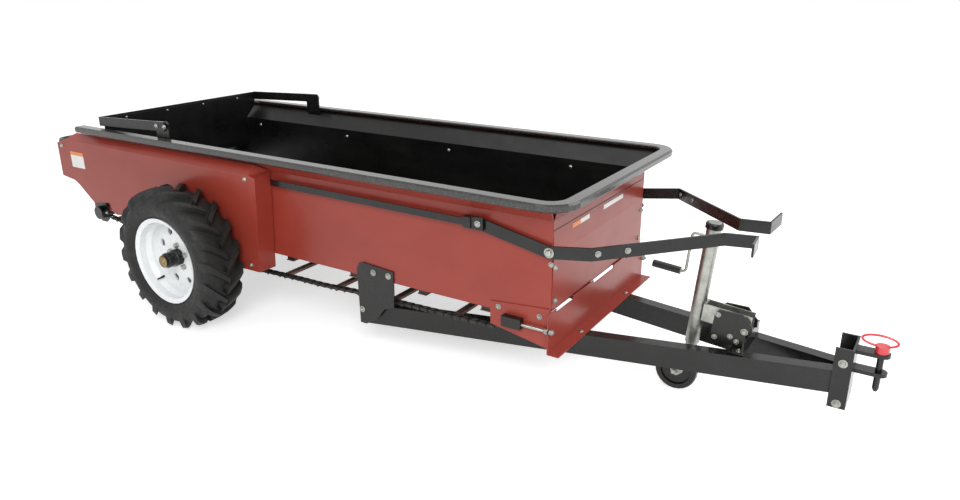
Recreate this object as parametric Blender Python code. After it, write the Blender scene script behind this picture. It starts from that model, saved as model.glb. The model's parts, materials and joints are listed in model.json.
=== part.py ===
"""Towed manure spreader with a ground-wheel axle, an apron conveyor and a swivel jack.

Metres, +Z up, +X towards the hitch, +Y to the machine's left.  Shapes are written in the
machine frame, whose origin is on the ground under the axle; the empty "machine" then sets
that frame so that the whole part is centred on the world origin.
"""

from math import cos, hypot, pi, radians, sin

import bmesh
import bpy
from mathutils import Matrix, Vector

# ---------------------------------------------------------------- driving dimensions
REAR_REACH = 1.150        # axle to the rearmost face of the safety bar
FRONT_REACH = 2.985       # axle to the foremost point of the hitch pin's ring
AXLE_X = (REAR_REACH - FRONT_REACH) / 2

GAP = 0.0005              # between touching pieces
SHEET = 0.004             # steel sheet
SIDES = (("right", -1), ("left", 1))

TYRE_R = 0.343
TYRE_OUT = 0.771          # outer wall of the tyre, from the centre plane
TYRE_IN = 0.556
RIM_R = 0.208
RIM_OUT = 0.756
WHEEL_STEPS = 40          # facets round a tyre or rim, a multiple of four
DISC_OUT = 0.672          # outer face of the wheel disc
AXLE_Z = TYRE_R
AXLE_R = 0.019

BOX_HALF = 0.445          # outer face of a side panel
BOX_LOW = 0.367
FLARE_Z = 0.766           # where the side starts to lean out
FLARE_TOP = 0.842
SIDE_FLARE = 0.100        # how far the side leans out
FRONT_FLARE = 0.062
REAR_SLOPE = 0.160        # a side's rear edge runs forward this much over the flare
FRONT_SLOPE = 0.042
FLARE_CLEAR = 0.010       # mitre gap at a front corner, under the rim
BOX_REAR = -1.030
BOX_FRONT = 1.863
RIM_TOP = 0.862
RIM_HALF = 0.028          # half the width of the rolled top rim
RIM_LINE_Y = 0.546
RIM_LINE_X = 1.946
RIM_CORNER = 0.090

FLOOR_TOP = 0.3955
FLOOR_THICK = 0.014
RIB_LOW = 0.352
RIB_X = (-0.620, -0.250, 0.506, 0.892, 1.267, 1.575)
RIB_WIDTH = 0.040

SHAFT_Z = 0.356           # both apron shafts
FRONT_SHAFT_X = 1.715
REAR_SHAFT_X = -0.947
SHAFT_R = 0.0125
CHAIN_Y = 0.400
CHAIN_HALF = 0.016        # half the width of a chain
CHAIN_THICK = 0.016
PITCH_R = 0.048           # sprocket pitch radius
SLAT_PROUD = 0.012        # a slat stands out of the chain by this much
SLAT_EVERY = 8            # in chain cells
CHAIN_CELLS = 104

GUARD_OUT = 0.546
BEATER_X = -0.900
BEATER_Z = 0.620
BEATER_R = 0.140

RAIL_REAR_X = 0.930
RAIL_FRONT_X = 2.842
RAIL_REAR_Y = 0.444       # outer face
RAIL_FRONT_Y = 0.0535
RAIL_WIDTH = 0.052
RAIL_HIGH = 0.090
RAIL_REAR_Z = 0.140       # underside
RAIL_FRONT_Z = 0.172

JACK_Y = -0.020
JACK_PIVOT = (2.480, JACK_Y, 0.330)
JACK_LEAN = radians(5)
JACK_TUBE_U = -0.1933     # tube centre, forward of the pivot in the leaning frame
TUBE_R = 0.0275
TUBE_BORE = 0.0240
LEG_R = 0.0225
CASTER_R = 0.085
CASTER_TRAIL = 0.045

LEVER_PIVOT_X = 1.860
LEVER_PIVOT_Z = 0.649
LEVER_Y = 0.459
LINK_Y = 0.470
LINK_REAR_X = 0.470
LINK_Z = 0.722


# ---------------------------------------------------------------- scene and materials
def clear_scene():
    for obj in list(bpy.data.objects):
        bpy.data.objects.remove(obj, do_unlink=True)


MATERIALS = {
    # name: (colour, metallic, roughness)
    "red_paint": ((0.42, 0.055, 0.040), 0.0, 0.35),
    "black_paint": ((0.022, 0.023, 0.022), 0.0, 0.40),
    "black_liner": ((0.012, 0.012, 0.012), 0.0, 0.45),
    "white_paint": ((0.82, 0.83, 0.84), 0.0, 0.30),
    "tyre_rubber": ((0.025, 0.025, 0.024), 0.0, 0.75),
    "zinc": ((0.55, 0.57, 0.54), 0.9, 0.35),
    "chain_steel": ((0.030, 0.029, 0.028), 0.6, 0.50),
    "pin_red": ((0.62, 0.030, 0.045), 0.0, 0.30),
    "brass": ((0.55, 0.40, 0.16), 0.9, 0.40),
}


def material(name):
    """The named material, made on its first use."""
    if name in bpy.data.materials:
        return bpy.data.materials[name]
    colour, metallic, roughness = MATERIALS[name]
    made = bpy.data.materials.new(name)
    made.use_nodes = True
    shader = made.node_tree.nodes["Principled BSDF"]
    shader.inputs["Base Color"].default_value = (*colour, 1.0)
    shader.inputs["Metallic"].default_value = metallic
    shader.inputs["Roughness"].default_value = roughness
    made.diffuse_color = (*colour, 1.0)
    return made


# ---------------------------------------------------------------- building blocks
def make(name, verts, faces, slot, origin=(0, 0, 0), smooth=False):
    """A mesh object from machine-frame points, with its own origin."""
    shift = Vector(origin)
    mesh = bpy.data.meshes.new(name)
    mesh.from_pydata([Vector(v) - shift for v in verts], [], faces)
    work = bmesh.new()
    work.from_mesh(mesh)
    bmesh.ops.recalc_face_normals(work, faces=work.faces)
    work.to_mesh(mesh)
    work.free()
    if smooth:
        mesh.shade_smooth()
        mesh.set_sharp_from_angle(angle=radians(35))
    mesh.materials.append(material(slot))
    obj = bpy.data.objects.new(name, mesh)
    obj.location = shift
    obj.parent = bpy.data.objects["machine"]
    bpy.context.scene.collection.objects.link(obj)
    return obj


def loft(rings, closed=False):
    """Vertices and faces of a skin over equal rings of points, capped unless closed."""
    count = len(rings[0])
    verts = [p for ring in rings for p in ring]
    faces = []
    steps = len(rings) if closed else len(rings) - 1
    for i in range(steps):
        a = i * count
        b = (i + 1) % len(rings) * count
        for j in range(count):
            k = (j + 1) % count
            faces.append((a + j, a + k, b + k, b + j))
    if not closed:
        faces.append(tuple(range(count)))
        faces.append(tuple(reversed(range(len(verts) - count, len(verts)))))
    return verts, faces


def prism(name, outline, low, high, along, slot, origin=(0, 0, 0), smooth=False):
    """An outline of the two other axes, in X, Y, Z order, pushed from low to high."""
    place = {
        "x": lambda a, b, h: (h, a, b),
        "y": lambda a, b, h: (a, h, b),
        "z": lambda a, b, h: (a, b, h),
    }[along]
    rings = [[place(a, b, h) for a, b in outline] for h in (low, high)]
    return make(name, *loft(rings), slot, origin, smooth)


def block(name, low, high, slot, origin=(0, 0, 0)):
    """A box between two corners."""
    outline = ((low[0], low[1]), (high[0], low[1]), (high[0], high[1]), (low[0], high[1]))
    return prism(name, outline, low[2], high[2], "z", slot, origin)


def circle(centre, radius, count=24, start=0.0):
    a, b = centre
    turn = [start + 2 * pi * i / count for i in range(count)]
    return [(a + radius * cos(t), b + radius * sin(t)) for t in turn]


def turned(name, profile, centre, slot, count=48, origin=None):
    """A closed (radius, y) profile turned about a Y axis through centre = (x, z)."""
    rings = []
    for i in range(count):
        t = 2 * pi * i / count
        rings.append([(centre[0] + r * cos(t), y, centre[1] + r * sin(t)) for r, y in profile])
    origin = origin or (centre[0], 0.0, centre[1])
    return make(name, *loft(rings, closed=True), slot, origin, smooth=True)


def bent_sheet(line, thickness):
    """A closed outline: the line, and the same line moved to its left by the thickness."""
    moved = []
    for i, point in enumerate(line):
        here = Vector(point)
        normals = []
        for a, b in ((i - 1, i), (i, i + 1)):
            if a < 0 or b >= len(line):
                continue
            run = (Vector(line[b]) - Vector(line[a])).normalized()
            normals.append(Vector((-run.y, run.x)))
        mitre = sum(normals, Vector((0, 0))).normalized()
        moved.append(tuple(here + mitre * (thickness / mitre.dot(normals[0]))))
    return [tuple(p) for p in line] + moved[::-1]


def unite(base, *others):
    """Weld closed pieces that overlap into one closed body."""
    for other in others:
        join = base.modifiers.new("weld_" + other.name, "BOOLEAN")
        join.operation = "UNION"
        join.object = other
        hide(other)
    return base


def cut(base, *cutters):
    for cutter in cutters:
        take = base.modifiers.new("cut_" + cutter.name, "BOOLEAN")
        take.operation = "DIFFERENCE"
        take.object = cutter
        hide(cutter)
    return base


def hide(obj):
    obj.hide_render = True
    obj.display_type = "WIRE"


def plan_path(points, section, side_of=1):
    """Rings of a section swept along a level path; its first number is outward."""
    rings = []
    for i, point in enumerate(points):
        here = Vector(point[:2])
        normals = []
        for a, b in ((i - 1, i), (i, i + 1)):
            if a < 0 or b >= len(points):
                continue
            run = (Vector(points[b][:2]) - Vector(points[a][:2])).normalized()
            normals.append(Vector((run.y, -run.x)) * side_of)
        mitre = sum(normals, Vector((0, 0))).normalized()
        mitre = mitre / mitre.dot(normals[0])
        lift = point[2] if len(point) > 2 else 0.0
        rings.append([(*(here + mitre * out), lift + z) for out, z in section])
    return rings


def bar(name, points, thick, high, slot, origin):
    """A flat bar on edge that follows points (x, y, z of its middle line)."""
    half, rise = thick / 2, high / 2
    section = ((-half, -rise), (half, -rise), (half, rise), (-half, rise))
    return make(name, *loft(plan_path(points, section)), slot, origin)


def u_path(x_line, y_line, rear, corner, steps=6):
    """A path forward along the right side, round the front and back along the left."""
    path = [(rear, -y_line)]
    for turn_y, first in ((-1, -90), (1, 0)):
        centre = (x_line - corner, turn_y * (y_line - corner))
        for i in range(steps + 1):
            t = radians(first + 90 * i / steps)
            path.append((centre[0] + corner * cos(t), centre[1] + corner * sin(t)))
    path.append((rear, y_line))
    return path


def round_bar(name, points, radius, slot, origin, count=12, closed=False):
    """A round bar through points, its section square to the path."""
    rings = []
    last = len(points)
    for i, point in enumerate(points):
        before = points[(i - 1) % last] if closed or i else points[0]
        after = points[(i + 1) % last] if closed or i < last - 1 else points[-1]
        run = (Vector(after) - Vector(before)).normalized()
        helper = Vector((0, 1, 0)) if abs(run.y) < 0.7 else Vector((0, 0, 1))
        side = run.cross(helper).normalized()
        up = side.cross(run)
        ring = []
        for a in range(count):
            t = 2 * pi * a / count
            ring.append(Vector(point) + side * radius * cos(t) + up * radius * sin(t))
        rings.append(ring)
    return make(name, *loft(rings, closed), slot, origin, smooth=True)


# ---------------------------------------------------------------- tub
def flare_slide(z, reach):
    """How far a leaning panel has moved out at height z."""
    return max(0.0, z - FLARE_Z) / (FLARE_TOP - FLARE_Z) * reach


def side_panel(side_name, side):
    """Red steel side: upright, then leaning out under the rim, mitred at the front."""
    line = ((BOX_HALF, BOX_LOW), (BOX_HALF, FLARE_Z), (BOX_HALF + SIDE_FLARE, FLARE_TOP))
    outline = bent_sheet(line, SHEET)
    rings = []
    for end, slope in ((BOX_REAR, REAR_SLOPE), (BOX_FRONT, FRONT_SLOPE)):
        rings.append([(end + flare_slide(z, slope), side * y, z) for y, z in outline])
    make("side_panel_" + side_name, *loft(rings), "red_paint")


def front_panel():
    """Red front with a shallow crease, leaning out under the rim."""
    line = (
        (BOX_FRONT, 0.415),
        (BOX_FRONT + 0.004, 0.632),
        (BOX_FRONT, 0.728),
        (BOX_FRONT, FLARE_Z),
        (BOX_FRONT + FRONT_FLARE, FLARE_TOP),
    )
    outline = bent_sheet(line, SHEET)
    rings = []
    for side in (-1, 1):
        ring = []
        for x, z in outline:
            half = BOX_HALF - SHEET - 0.004 + flare_slide(z, SIDE_FLARE)
            half -= FLARE_CLEAR if z > FLARE_Z + 0.001 else 0.0
            ring.append((x, side * half, z))
        rings.append(ring)
    make("front_panel", *loft(rings), "red_paint")


def tub_liner():
    """Black skin inside the sides and the front, open at the rear."""
    base = BOX_HALF - SHEET - GAP
    front_x = BOX_FRONT - SHEET - GAP
    crease = FLARE_Z + 0.004
    thick = 0.003
    side_reach = SIDE_FLARE - 0.0035
    front_reach = FRONT_FLARE - 0.0025
    section = (
        # share of the lean, inset, height
        (0.0, thick, FLOOR_TOP + 0.012), (0.0, 0.0, FLOOR_TOP + 0.012), (0.0, 0.0, crease),
        (1.0, 0.0, FLARE_TOP), (1.0, thick + 0.001, FLARE_TOP + 0.001),
        (0.0, thick, crease + 0.002),
    )
    corners = ((BOX_REAR, -1, 0), (front_x, -1, 1), (front_x, 1, 1), (BOX_REAR, 1, 0))
    rings = []
    for x, side, ahead in corners:
        ring = []
        for share, inset, z in section:
            back = 0.0 if ahead else flare_slide(z, REAR_SLOPE)
            ring.append((x + back + ahead * (share * front_reach - inset),
                         side * (base + share * side_reach - inset), z))
        rings.append(ring)
    make("tub_liner", *loft(rings), "black_liner")


def tub_rim():
    """Rolled black rim round three sides of the tub, its rear ends running down."""
    low = RIM_TOP - 0.030
    section = (
        (-RIM_HALF, 0.850),
        (-RIM_HALF, RIM_TOP - 0.004),
        (-RIM_HALF + 0.004, RIM_TOP),
        (RIM_HALF - 0.007, RIM_TOP),
        (RIM_HALF, RIM_TOP - 0.007),
        (RIM_HALF, low + 0.006),
        (RIM_HALF - 0.006, low),
        (RIM_HALF - 0.011, low + 0.006),
        (RIM_HALF - 0.011, 0.850),
    )
    path = u_path(RIM_LINE_X, RIM_LINE_Y, -0.860, RIM_CORNER)
    make("tub_rim", *loft(plan_path(path, section)), "black_paint", smooth=True)


def tub_floor():
    """Floor plate with cross ribs under it."""
    top, low = FLOOR_TOP, FLOOR_TOP - FLOOR_THICK
    rear, front = REAR_SHAFT_X + 0.075, FRONT_SHAFT_X - 0.075
    outline = [(front, top), (rear, top), (rear, low)]
    for x in RIB_X:
        left, right = x - RIB_WIDTH / 2, x + RIB_WIDTH / 2
        outline += [(left, low), (left, RIB_LOW), (right, RIB_LOW), (right, low)]
    outline.append((front, low))
    half = BOX_HALF - SHEET - GAP
    prism("tub_floor", outline, -half, half, "y", "black_paint")


# ---------------------------------------------------------------- guards and shields
GUARD_OUTLINE = (
    # x, z of the outer face, from the rear top round the underside to the front top
    (-1.107, 0.748),
    (-1.111, 0.566),
    (-1.002, 0.552),
    (-0.962, 0.530),
    (-0.854, 0.448),
    (-0.705, 0.468),
    (-0.700, 0.424),
    (-0.660, 0.408),
    (-0.600, 0.415),
    (-0.120, 0.400),
    (0.120, 0.400),
    (0.200, 0.300),
    (0.409, 0.302),
    (0.440, 0.752),
    (0.400, 0.762),
    (-1.030, 0.774),
)


def chain_guard(side_name, side):
    """Red cover outside a side panel: outer plate, sloping top strip and front face."""
    verts = [(x, side * GUARD_OUT, z) for x, z in GUARD_OUTLINE]
    count = len(verts)
    low_front, high_front, crease_front, crease_rear = count - 4, count - 3, count - 2, count - 1
    verts += [
        (0.409, side * (BOX_HALF + 0.004), 0.302),
        (0.440, side * (BOX_HALF + 0.004), 0.768),
        (0.400, side * 0.512, 0.805),
        (-0.960, side * 0.512, 0.810),
    ]
    faces = [
        tuple(range(count)),
        (low_front, count, count + 1, high_front),
        (crease_rear, crease_front, count + 2, count + 3),
        (crease_front, high_front, count + 1, count + 2),
    ]
    obj = make("chain_guard_" + side_name, verts, faces, "red_paint")
    if (obj.data.polygons[0].normal.y > 0) != (side > 0):
        obj.data.flip_normals()
    thicken = obj.modifiers.new("sheet", "SOLIDIFY")
    thicken.thickness = SHEET
    thicken.offset = -1.0
    thicken.use_even_offset = True


SHIELD_X = 1.866
SHIELD_TOP = 0.4135
SLOT_LOW = 0.399          # notches in the shield's top edge, under the front panel
SLOTS = ((-0.409, -0.264), (-0.076, 0.128), (0.264, 0.409))
SHIELD_LOW = 0.2475
TAKE_UP_Y = 0.466
TAKE_UP_Z = 0.341


def front_shield():
    """Red bent plate below the front panel, its foot flange on the tongue rails."""
    line = ((SHIELD_X + 0.050, SHIELD_LOW), (SHIELD_X, SHIELD_LOW), (SHIELD_X, SHIELD_TOP))
    outline = bent_sheet(line[::-1], SHEET)
    shield = prism("front_shield", outline, -0.475, 0.475, "y", "red_paint")
    for side_name, side in SIDES:
        hole = circle((side * TAKE_UP_Y, TAKE_UP_Z), 0.0095, 16)
        cut(shield, prism("rod_hole_" + side_name, hole, 1.84, 1.90, "x", "red_paint"))
    for i, (low, high) in enumerate(SLOTS):
        cut(shield, block("slot_%d" % i, (1.84, low, SLOT_LOW), (1.90, high, 0.43), "red_paint"))


def skirt(side_name, side):
    """Red plate on the foot of a side panel, carrying the apron take-up."""
    outline = ((1.600, 0.402), (1.603, 0.305), (1.840, 0.262), (1.862, 0.252), (1.862, 0.424))
    low, high = sorted((side * (BOX_HALF + GAP), side * (BOX_HALF + GAP + SHEET)))
    prism("skirt_" + side_name, outline, low, high, "y", "red_paint")


def take_up(side_name, side):
    """Bearing block with a threaded rod and nuts that tension the apron."""
    near, far = sorted((side * 0.4505, side * 0.480))
    name = "take_up_" + side_name
    body = block(name, (1.668, near, 0.322), (1.752, far, 0.364), "black_paint")
    place = (side * TAKE_UP_Y, TAKE_UP_Z)
    rod = prism(name + "_rod", circle(place, 0.006, 12), 1.745, 1.890, "x", "zinc")
    nut = prism(name + "_nut", circle(place, 0.011, 6), 1.8715, 1.884, "x", "zinc")
    inner = prism(name + "_inner_nut", circle(place, 0.011, 6), 1.851, 1.8645, "x", "zinc")
    unite(body, rod, nut, inner)


# ---------------------------------------------------------------- apron
def apron_shaft(name, x):
    """Cross shaft with a sprocket under each chain."""
    half = BOX_HALF - SHEET - GAP
    hub, wheel = 0.020, 0.029
    inner, outer = CHAIN_Y - 0.012, CHAIN_Y + 0.012
    profile = [(0.004, -half), (SHAFT_R, -half)]
    for low, high in ((-outer, -inner), (inner, outer)):
        profile += [(SHAFT_R, low - 0.012), (hub, low - 0.012), (hub, low), (wheel, low)]
        profile += [(wheel, high), (hub, high), (hub, high + 0.012), (SHAFT_R, high + 0.012)]
    profile += [(SHAFT_R, half), (0.004, half)]
    turned(name, profile, (x, SHAFT_Z), "chain_steel", 24)


def apron_height(x):
    """Middle of the hanging return run at x."""
    knots = (
        # x, z
        (REAR_SHAFT_X, SHAFT_Z - PITCH_R),
        (-0.60, 0.262),
        (0.05, 0.232),
        (0.60, 0.244),
        (0.95, 0.2585),
        (1.58, 0.2685),
        (FRONT_SHAFT_X, SHAFT_Z - PITCH_R),
    )
    for (x0, z0), (x1, z1) in zip(knots, knots[1:]):
        if x <= x1:
            t = (x - x0) / (x1 - x0)
            return z0 + (z1 - z0) * t * t * (3 - 2 * t)
    return knots[-1][1]


def apron_line():
    """Points (x, z) round the apron's middle line, evenly spaced."""
    dense = []
    for i in range(41):
        t = i / 40
        x = REAR_SHAFT_X + (FRONT_SHAFT_X - REAR_SHAFT_X) * t
        dense.append((x, SHAFT_Z + PITCH_R))
    for i in range(1, 24):
        t = radians(90 - 180 * i / 24)
        dense.append((FRONT_SHAFT_X + PITCH_R * cos(t), SHAFT_Z + PITCH_R * sin(t)))
    for i in range(61):
        x = FRONT_SHAFT_X + (REAR_SHAFT_X - FRONT_SHAFT_X) * i / 60
        dense.append((x, apron_height(x)))
    for i in range(1, 24):
        t = radians(270 - 180 * i / 24)
        dense.append((REAR_SHAFT_X + PITCH_R * cos(t), SHAFT_Z + PITCH_R * sin(t)))
    dense.append(dense[0])
    travel = [0.0]
    for a, b in zip(dense, dense[1:]):
        travel.append(travel[-1] + hypot(b[0] - a[0], b[1] - a[1]))
    line = []
    segment = 0
    for i in range(CHAIN_CELLS):
        target = travel[-1] * i / CHAIN_CELLS
        while travel[segment + 1] < target:
            segment += 1
        t = (target - travel[segment]) / (travel[segment + 1] - travel[segment])
        a, b = dense[segment], dense[segment + 1]
        line.append((a[0] + (b[0] - a[0]) * t, a[1] + (b[1] - a[1]) * t))
    return line


def apron_conveyor():
    """Two endless chains and the slats between them, one closed loop of cells."""
    line = apron_line()
    half = CHAIN_THICK / 2
    columns = (-CHAIN_Y - CHAIN_HALF, -CHAIN_Y + CHAIN_HALF, CHAIN_Y - CHAIN_HALF,
               CHAIN_Y + CHAIN_HALF)
    verts = []
    for i, (x, z) in enumerate(line):
        before = Vector(line[i - 1])
        after = Vector(line[(i + 1) % CHAIN_CELLS])
        run = (after - before).normalized()
        out = Vector((-run.y, run.x))
        at_slat = i % SLAT_EVERY in (4, 5)
        outer = Vector((x, z)) + out * (half + (SLAT_PROUD if at_slat else 0.0))
        inner = Vector((x, z)) - out * half
        for y in columns:
            verts += [(inner.x, y, inner.y), (outer.x, y, outer.y)]
    stride = 2 * len(columns)

    def corner(ring, column, top):
        return (ring % CHAIN_CELLS) * stride + 2 * column + top

    def filled(ring, column):
        return column in (0, 2) or (column == 1 and ring % CHAIN_CELLS % SLAT_EVERY == 4)

    faces = []
    for i in range(CHAIN_CELLS):
        for c in range(3):
            if not filled(i, c):
                continue
            for top in (0, 1):
                faces.append((corner(i, c, top), corner(i, c + 1, top),
                              corner(i + 1, c + 1, top), corner(i + 1, c, top)))
            for beside, column in ((c - 1, c), (c + 1, c + 1)):
                if beside not in (0, 1, 2) or not filled(i, beside):
                    faces.append((corner(i, column, 0), corner(i, column, 1),
                                  corner(i + 1, column, 1), corner(i + 1, column, 0)))
            for ahead, ring in ((i - 1, i), (i + 1, i + 1)):
                if not filled(ahead, c):
                    faces.append((corner(ring, c, 0), corner(ring, c, 1),
                                  corner(ring, c + 1, 1), corner(ring, c + 1, 0)))
    make("apron_conveyor", verts, faces, "chain_steel")


def apron_bearing(side_name, side):
    """Flange bearing of the rear apron shaft, outside the side panel."""
    near, far = sorted((side * (BOX_HALF + GAP), side * (BOX_HALF + 0.009)))
    name = "apron_bearing_" + side_name
    outline = ((-1.002, 0.395), (-0.985, 0.412), (-0.905, 0.412), (-0.890, 0.395),
               (-0.905, 0.318), (-0.925, 0.300), (-0.969, 0.300), (-0.989, 0.318))
    plate = prism(name, outline, near, far, "y", "black_paint")
    near, far = sorted((side * (BOX_HALF + 0.006), side * 0.482))
    place = (REAR_SHAFT_X, SHAFT_Z)
    unite(plate, prism(name + "_boss", circle(place, 0.036, 24), near, far, "y", "black_paint"))


# ---------------------------------------------------------------- rear end
def beater():
    """Shaft with four lengthwise paddles."""
    centre = (BEATER_X, BEATER_Z)
    shaft = prism("beater", circle(centre, 0.024, 24), -0.434, 0.434, "y", "black_paint",
                  (BEATER_X, 0, BEATER_Z))
    arms = []
    for i, (a, b) in enumerate(((1, 0), (0, 1))):
        low = (BEATER_X - (BEATER_R if a else 0.004), -0.415,
               BEATER_Z - (BEATER_R if b else 0.004))
        high = (BEATER_X + (BEATER_R if a else 0.004), 0.415,
                BEATER_Z + (BEATER_R if b else 0.004))
        arms.append(block("paddles_%d" % i, low, high, "black_paint"))
    unite(shaft, *arms)


def rear_guard_frame():
    """Flat bar frame over the rear of the tub, held by a plate on each side."""
    cross = block("rear_guard_frame", (-0.719, -0.519, 0.872), (-0.711, 0.519, 0.918),
                  "black_paint")
    for side_name, side in SIDES:
        arm = ((-0.7185, 0.918), (-0.7185, 0.872), (-0.190, 0.895), (-0.190, 0.940))
        near, far = sorted((side * 0.511, side * 0.519))
        bar_piece = prism("frame_arm_" + side_name, arm, near, far, "y", "black_paint")
        plate = ((-0.262, 0.828), (-0.168, 0.828), (-0.168, 0.930), (-0.178, 0.940),
                 (-0.262, 0.936))
        near, far = sorted((side * 0.503, side * 0.5115))
        foot = prism("frame_plate_" + side_name, plate, near, far, "y", "black_paint")
        unite(cross, bar_piece, foot)


def rear_flap():
    """Black board hung from the frame in front of the beater."""
    half = ((0.425, 0.610), (0.425, 0.770), (0.500, 0.845), (0.500, 0.908))
    outline = [(y, z) for y, z in half] + [(-y, z) for y, z in reversed(half)]
    prism("rear_flap", outline, -0.7105, -0.7055, "x", "black_liner")


def safety_bar():
    """Round bar behind the beater, from one chain guard to the other."""
    radius, line_y, z = 0.0125, 0.525, 0.755
    line_x = -REAR_REACH + radius
    corner = 0.050
    points = [(-0.980, -line_y, z)]
    for side, first in ((-1, 270), (1, 180)):
        for i in range(5):
            t = radians(first - 90 * i / 4)
            points.append((line_x + corner + corner * cos(t),
                           side * (line_y - corner) + corner * sin(t), z))
    points.append((-0.980, line_y, z))
    round_bar("safety_bar", points, radius, "black_paint", (0, 0, 0))


# ---------------------------------------------------------------- axle and wheels
def axle():
    prism("axle", circle((0, AXLE_Z), AXLE_R, 24), -0.640, 0.640, "y", "black_paint",
          (0, 0, AXLE_Z), smooth=True)


def axle_hanger(side_name, side):
    """Bearing plate that hangs the axle from a side panel."""
    near, far = sorted((side * (BOX_HALF + GAP), side * (BOX_HALF + 0.013)))
    outline = ((-0.070, 0.480), (-0.070, 0.345), (-0.040, 0.305), (0.040, 0.305),
               (0.070, 0.345), (0.070, 0.480))
    name = "axle_hanger_" + side_name
    plate = prism(name, outline, near, far, "y", "black_paint")
    hole = circle((0, AXLE_Z), AXLE_R + GAP, 24)
    cut(plate, prism(name + "_bore", hole, near - 0.01, far + 0.01, "y", "black_paint"))


def tyre(side_name, side):
    """Tyre over its lugs, as one turned body seated on the rim."""
    mid = (TYRE_OUT + TYRE_IN) / 2
    half = (TYRE_OUT - TYRE_IN) / 2
    outline = (
        # radius, offset from the middle
        (0.2105, -0.090), (0.230, -0.102), (0.262, -half), (0.300, -0.106), (0.334, -0.094),
        (TYRE_R, -0.070), (TYRE_R, 0.070), (0.334, 0.094), (0.300, 0.106), (0.262, half),
        (0.230, 0.102), (0.2105, 0.090),
    )
    profile = [(r, side * (mid + out)) for r, out in outline]
    turned("tyre_" + side_name, profile, (0, AXLE_Z), "tyre_rubber", WHEEL_STEPS)


def rim(side_name, side):
    """Steel wheel: flanged barrel and a dished disc with eight windows."""
    inside = RIM_OUT - 0.190
    disc = DISC_OUT
    outline = (
        # radius, distance from the centre plane
        (RIM_R, RIM_OUT), (RIM_R, RIM_OUT - 0.004), (0.192, RIM_OUT - 0.012),
        (0.189, RIM_OUT - 0.040), (0.176, RIM_OUT - 0.060), (0.176, inside + 0.050),
        (0.190, inside + 0.030), (0.192, inside + 0.012), (RIM_R, inside + 0.004),
        (RIM_R, inside), (0.187, inside + 0.006), (0.170, inside + 0.050),
        (0.170, disc - 0.030), (0.130, disc - 0.012), (0.070, disc - 0.004),
        (0.0405, disc - 0.004), (0.0405, disc), (0.072, disc), (0.132, disc - 0.006),
        (0.170, disc - 0.016), (0.172, RIM_OUT - 0.062), (0.185, RIM_OUT - 0.040),
        (0.187, RIM_OUT - 0.008),
    )
    profile = [(r, side * y) for r, y in outline]
    wheel = turned("rim_" + side_name, profile, (0, AXLE_Z), "white_paint", WHEEL_STEPS)
    for i in range(8):
        t = 2 * pi * (i + 0.5) / 8
        hole = circle((0.126 * cos(t), AXLE_Z + 0.126 * sin(t)), 0.019, 10)
        near, far = sorted((side * (disc - 0.080), side * (disc + 0.040)))
        name = "window_%s_%d" % (side_name, i)
        cut(wheel, prism(name, hole, near, far, "y", "white_paint"))


def hub(side_name, side):
    """Hub that runs on the axle, its long nose at the rim's outer plane."""
    reach = AXLE_R + 0.001
    outline = (
        (reach, 0.560), (0.045, 0.560), (0.045, 0.600), (0.040, 0.606), (0.040, 0.662),
        (0.040, 0.700), (0.036, 0.704), (0.036, 0.742), (0.030, 0.746), (0.030, 0.758),
        (0.006, 0.758), (0.006, 0.650), (reach, 0.650),
    )
    profile = [(r, side * y) for r, y in outline]
    turned("hub_" + side_name, profile, (0, AXLE_Z), "black_paint", 32)


# ---------------------------------------------------------------- tongue and hitch
def rail_underside(x):
    t = (x - RAIL_REAR_X) / (RAIL_FRONT_X - RAIL_REAR_X)
    return RAIL_REAR_Z + (RAIL_FRONT_Z - RAIL_REAR_Z) * t


def tongue_rail(side_name, side):
    """Tube that runs from under the tub inwards to the hitch."""
    rings = []
    for x, outer in ((RAIL_REAR_X, RAIL_REAR_Y), (RAIL_FRONT_X, RAIL_FRONT_Y)):
        low = rail_underside(x)
        ends = (outer, outer - RAIL_WIDTH)
        rings.append([(x, side * ends[0], low), (x, side * ends[1], low),
                      (x, side * ends[1], low + RAIL_HIGH), (x, side * ends[0], low + RAIL_HIGH)])
    make("tongue_rail_" + side_name, *loft(rings), "black_paint")


def gusset(side_name, side):
    """Black plate that bolts a tongue rail to the side panel."""
    outline = ((0.922, 0.398), (0.926, 0.142), (0.960, 0.142), (1.020, 0.176), (1.066, 0.236),
               (1.120, 0.256), (1.124, 0.420), (0.958, 0.432), (0.936, 0.424))
    near, far = sorted((side * (BOX_HALF + GAP), side * (BOX_HALF + 0.007)))
    prism("gusset_" + side_name, outline, near, far, "y", "black_paint")


CROSS_X = 2.496


def tongue_crossmember():
    """Angle iron across the tops of the rails, under the jack."""
    low = rail_underside(CROSS_X) + RAIL_HIGH + GAP
    outline = ((CROSS_X - 0.056, low), (CROSS_X, low), (CROSS_X, low + 0.056),
               (CROSS_X - 0.007, low + 0.056), (CROSS_X - 0.007, low + 0.007),
               (CROSS_X - 0.056, low + 0.007))
    prism("tongue_crossmember", outline, -0.118, 0.118, "y", "black_paint")


def hitch_post():
    """Upright channel on the rail ends with the two tines of the drawbar clevis."""
    near, far, web = 2.795, 2.857, 0.008
    outer, inner = 0.0725, 0.0645
    outline = ((near, -outer), (far, -outer), (far, outer), (near, outer), (near, inner),
               (far - web, inner), (far - web, -inner), (near, -inner))
    post = prism("hitch_post", outline, 0.122, 0.356, "z", "black_paint")
    tine = [(far - 0.004, -0.026)]
    for i in range(9):
        t = radians(-90 + 180 * i / 8)
        tine.append((2.939 + 0.026 * cos(t), 0.026 * sin(t)))
    tine.append((far - 0.004, 0.026))
    for name, low in (("tine_low", 0.255), ("tine_high", 0.328)):
        piece = prism(name, tine, low, low + 0.014, "z", "black_paint")
        hole = circle((PIN_X, 0), 0.0125, 16)
        cut(piece, prism(name + "_hole", hole, low - 0.01, low + 0.03, "z", "black_paint"))
        unite(post, piece)


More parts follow.
